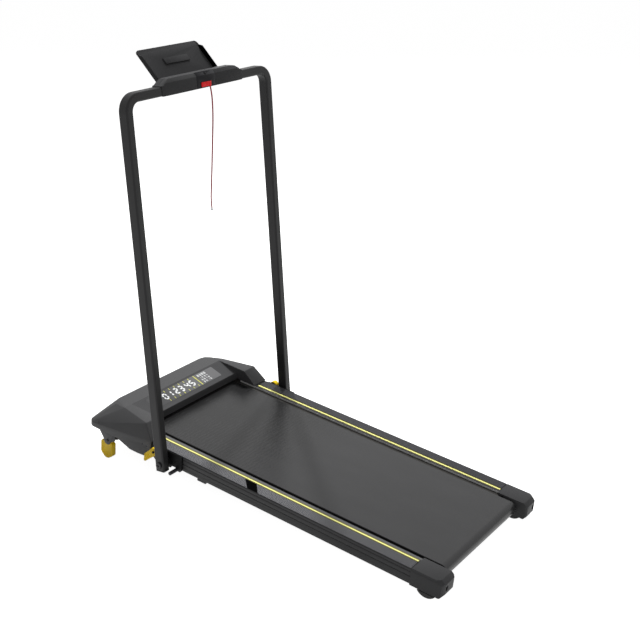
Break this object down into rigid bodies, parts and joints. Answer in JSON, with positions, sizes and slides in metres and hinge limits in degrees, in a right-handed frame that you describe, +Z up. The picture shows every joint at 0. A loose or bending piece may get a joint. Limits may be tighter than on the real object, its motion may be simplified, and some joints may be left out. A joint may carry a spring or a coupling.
{
  "type": "walking treadmill",
  "caption": "Folding walking treadmill: low deck with belt, rollers and side rails, motor hood, hinged handrail with console, safety key and tray, folding front legs.",
  "frame": {"origin": "on the floor, under the middle of the machine's length and width", "axes": "+X to the right of a user who faces the motor hood, +Y towards the hood, +Z up"},
  "size_m": [0.6186, 1.2397, 1.2255],
  "materials": {
    "rail_paint": "satin",
    "frame_paint": "satin",
    "handrail_paint": "satin",
    "belt": "matt, cross-grained",
    "board": "waxed",
    "cap_plastic": "fine grain",
    "hood_plastic": "fine grain",
    "panel": "satin print",
    "stripe": "satin",
    "grip": "stippled",
    "foot_rubber": "matt",
    "yellow_plastic": "satin",
    "wheel": "matt",
    "console_plastic": "fine grain",
    "tray_plastic": "fine grain",
    "button": "gloss",
    "key_red": "gloss",
    "cord_red": "matt",
    "clip": "satin",
    "steel": "turned",
    "black_steel": "black oxide",
    "drive_rubber": "matt",
    "board_green": "satin",
    "heat_sink": "satin",
    "inlet": "satin"
  },
  "bodies": {
    "base": {"left_side_member": "frame_paint", "right_side_member": "frame_paint", "rear_crossmember": "frame_paint", "mid_crossmember": "frame_paint", "roller_blocks": "steel", "running_board": "board", "board_cushions": "foot_rubber", "running_belt": "belt", "rear_roller_axle": "steel", "tension_bolts": "steel", "front_roller_axle": "steel", "left_side_rail": "rail_paint", "right_side_rail": "rail_paint", "left_grip_strip": "grip", "right_grip_strip": "grip", "left_stripe": "stripe", "right_stripe": "stripe", "left_end_cap": "cap_plastic", "right_end_cap": "cap_plastic", "left_rear_foot": "foot_rubber", "right_rear_foot": "foot_rubber", "motor_pan": "frame_paint", "motor_cradle": "frame_paint", "motor_body": "frame_paint", "drive_belt": "drive_rubber", "controller": "board_green", "heat_sink": "heat_sink", "power_inlet": "inlet", "hood": "hood_plastic", "hood_screws": "black_steel", "display_panel": "panel", "left_pivot_bracket": "frame_paint", "right_pivot_bracket": "frame_paint", "pivot_bolts": "black_steel", "rest_pegs": "frame_paint", "leg_brackets": "frame_paint", "leg_pins": "steel"},
    "handrail": {"handrail_tube": "handrail_paint", "tube_plugs": "console_plastic", "console_rear_shell": "console_plastic", "console_front_shell": "console_plastic", "key_module": "console_plastic", "tray_pins": "steel"},
    "tray": {"tray": "tray_plastic"},
    "safety_key": {"safety_key": "key_red", "lanyard": "cord_red", "lanyard_clip": "clip"},
    "start_button": {"start_button": "button"},
    "left_lock_lever": {"left_lock_lever": "yellow_plastic"},
    "right_lock_lever": {"right_lock_lever": "yellow_plastic"},
    "left_front_leg": {"left_front_leg": "yellow_plastic"},
    "right_front_leg": {"right_front_leg": "yellow_plastic"},
    "left_wheel": {"left_wheel": "wheel"},
    "right_wheel": {"right_wheel": "wheel"},
    "front_roller": {"front_roller": "steel", "front_roller_bearings": "steel"},
    "rear_roller": {"rear_roller": "steel", "rear_roller_bearings": "steel"},
    "motor_rotor": {"motor_rotor": "steel"},
    "power_switch": {"power_switch": "button"}
  },
  "joints": [
    {"name": "handrail_fold", "type": "hinge", "parent": "base", "child": "handrail", "pos_m": [0, 0.2962, 0.0979], "axis": [1, 0, 0], "range_deg": [0, 95]},
    {"name": "tray_tilt", "type": "hinge", "parent": "handrail", "child": "tray", "pos_m": [0, 0.41643, 1.14142], "axis": [1, 0, 0], "range_deg": [-25, 35]},
    {"name": "key_pull", "type": "slide", "parent": "handrail", "child": "safety_key", "axis": [0, -0.9963, 0.086], "range_m": [0, 0.02]},
    {"name": "start_press", "type": "slide", "parent": "handrail", "child": "start_button", "axis": [0, 0.7439, -0.6683], "range_m": [0, 0.001], "stiffness_N_per_m": 500},
    {"name": "left_lever_swing", "type": "hinge", "parent": "base", "child": "left_lock_lever", "pos_m": [0, 0.33133, 0.12277], "axis": [1, 0, 0], "range_deg": [0, 75]},
    {"name": "right_lever_swing", "type": "hinge", "parent": "base", "child": "right_lock_lever", "pos_m": [0, 0.33133, 0.12277], "axis": [1, 0, 0], "range_deg": [0, 75]},
    {"name": "left_leg_fold", "type": "hinge", "parent": "base", "child": "left_front_leg", "pos_m": [0, 0.5678, 0.0634], "axis": [1, 0, 0], "range_deg": [-90, 0]},
    {"name": "right_leg_fold", "type": "hinge", "parent": "base", "child": "right_front_leg", "pos_m": [0, 0.5678, 0.0634], "axis": [1, 0, 0], "range_deg": [-90, 0]},
    {"name": "left_wheel_spin", "type": "hinge", "parent": "base", "child": "left_wheel", "pos_m": [0, 0.58308, 0.08568], "axis": [1, 0, 0], "continuous": true},
    {"name": "right_wheel_spin", "type": "hinge", "parent": "base", "child": "right_wheel", "pos_m": [0, 0.58308, 0.08568], "axis": [1, 0, 0], "continuous": true},
    {"name": "front_roller_spin", "type": "hinge", "parent": "base", "child": "front_roller", "pos_m": [0, 0.46091, 0.12058], "axis": [1, 0, 0], "continuous": true},
    {"name": "rear_roller_spin", "type": "hinge", "parent": "base", "child": "rear_roller", "pos_m": [0, -0.56881, 0.03838], "axis": [1, 0, 0], "continuous": true},
    {"name": "motor_spin", "type": "hinge", "parent": "base", "child": "motor_rotor", "pos_m": [0, 0.52591, 0.14833], "axis": [1, 0, 0], "continuous": true},
    {"name": "switch_rock", "type": "hinge", "parent": "base", "child": "power_switch", "pos_m": [0.138, 0.60673, 0.12369], "axis": [1, 0, 0], "range_deg": [0, 12]}
  ],
  "couplings": [
    {"joint": "rear_roller_spin", "follows": "front_roller_spin", "ratio": 1},
    {"joint": "motor_spin", "follows": "front_roller_spin", "ratio": 1.7627}
  ]
}
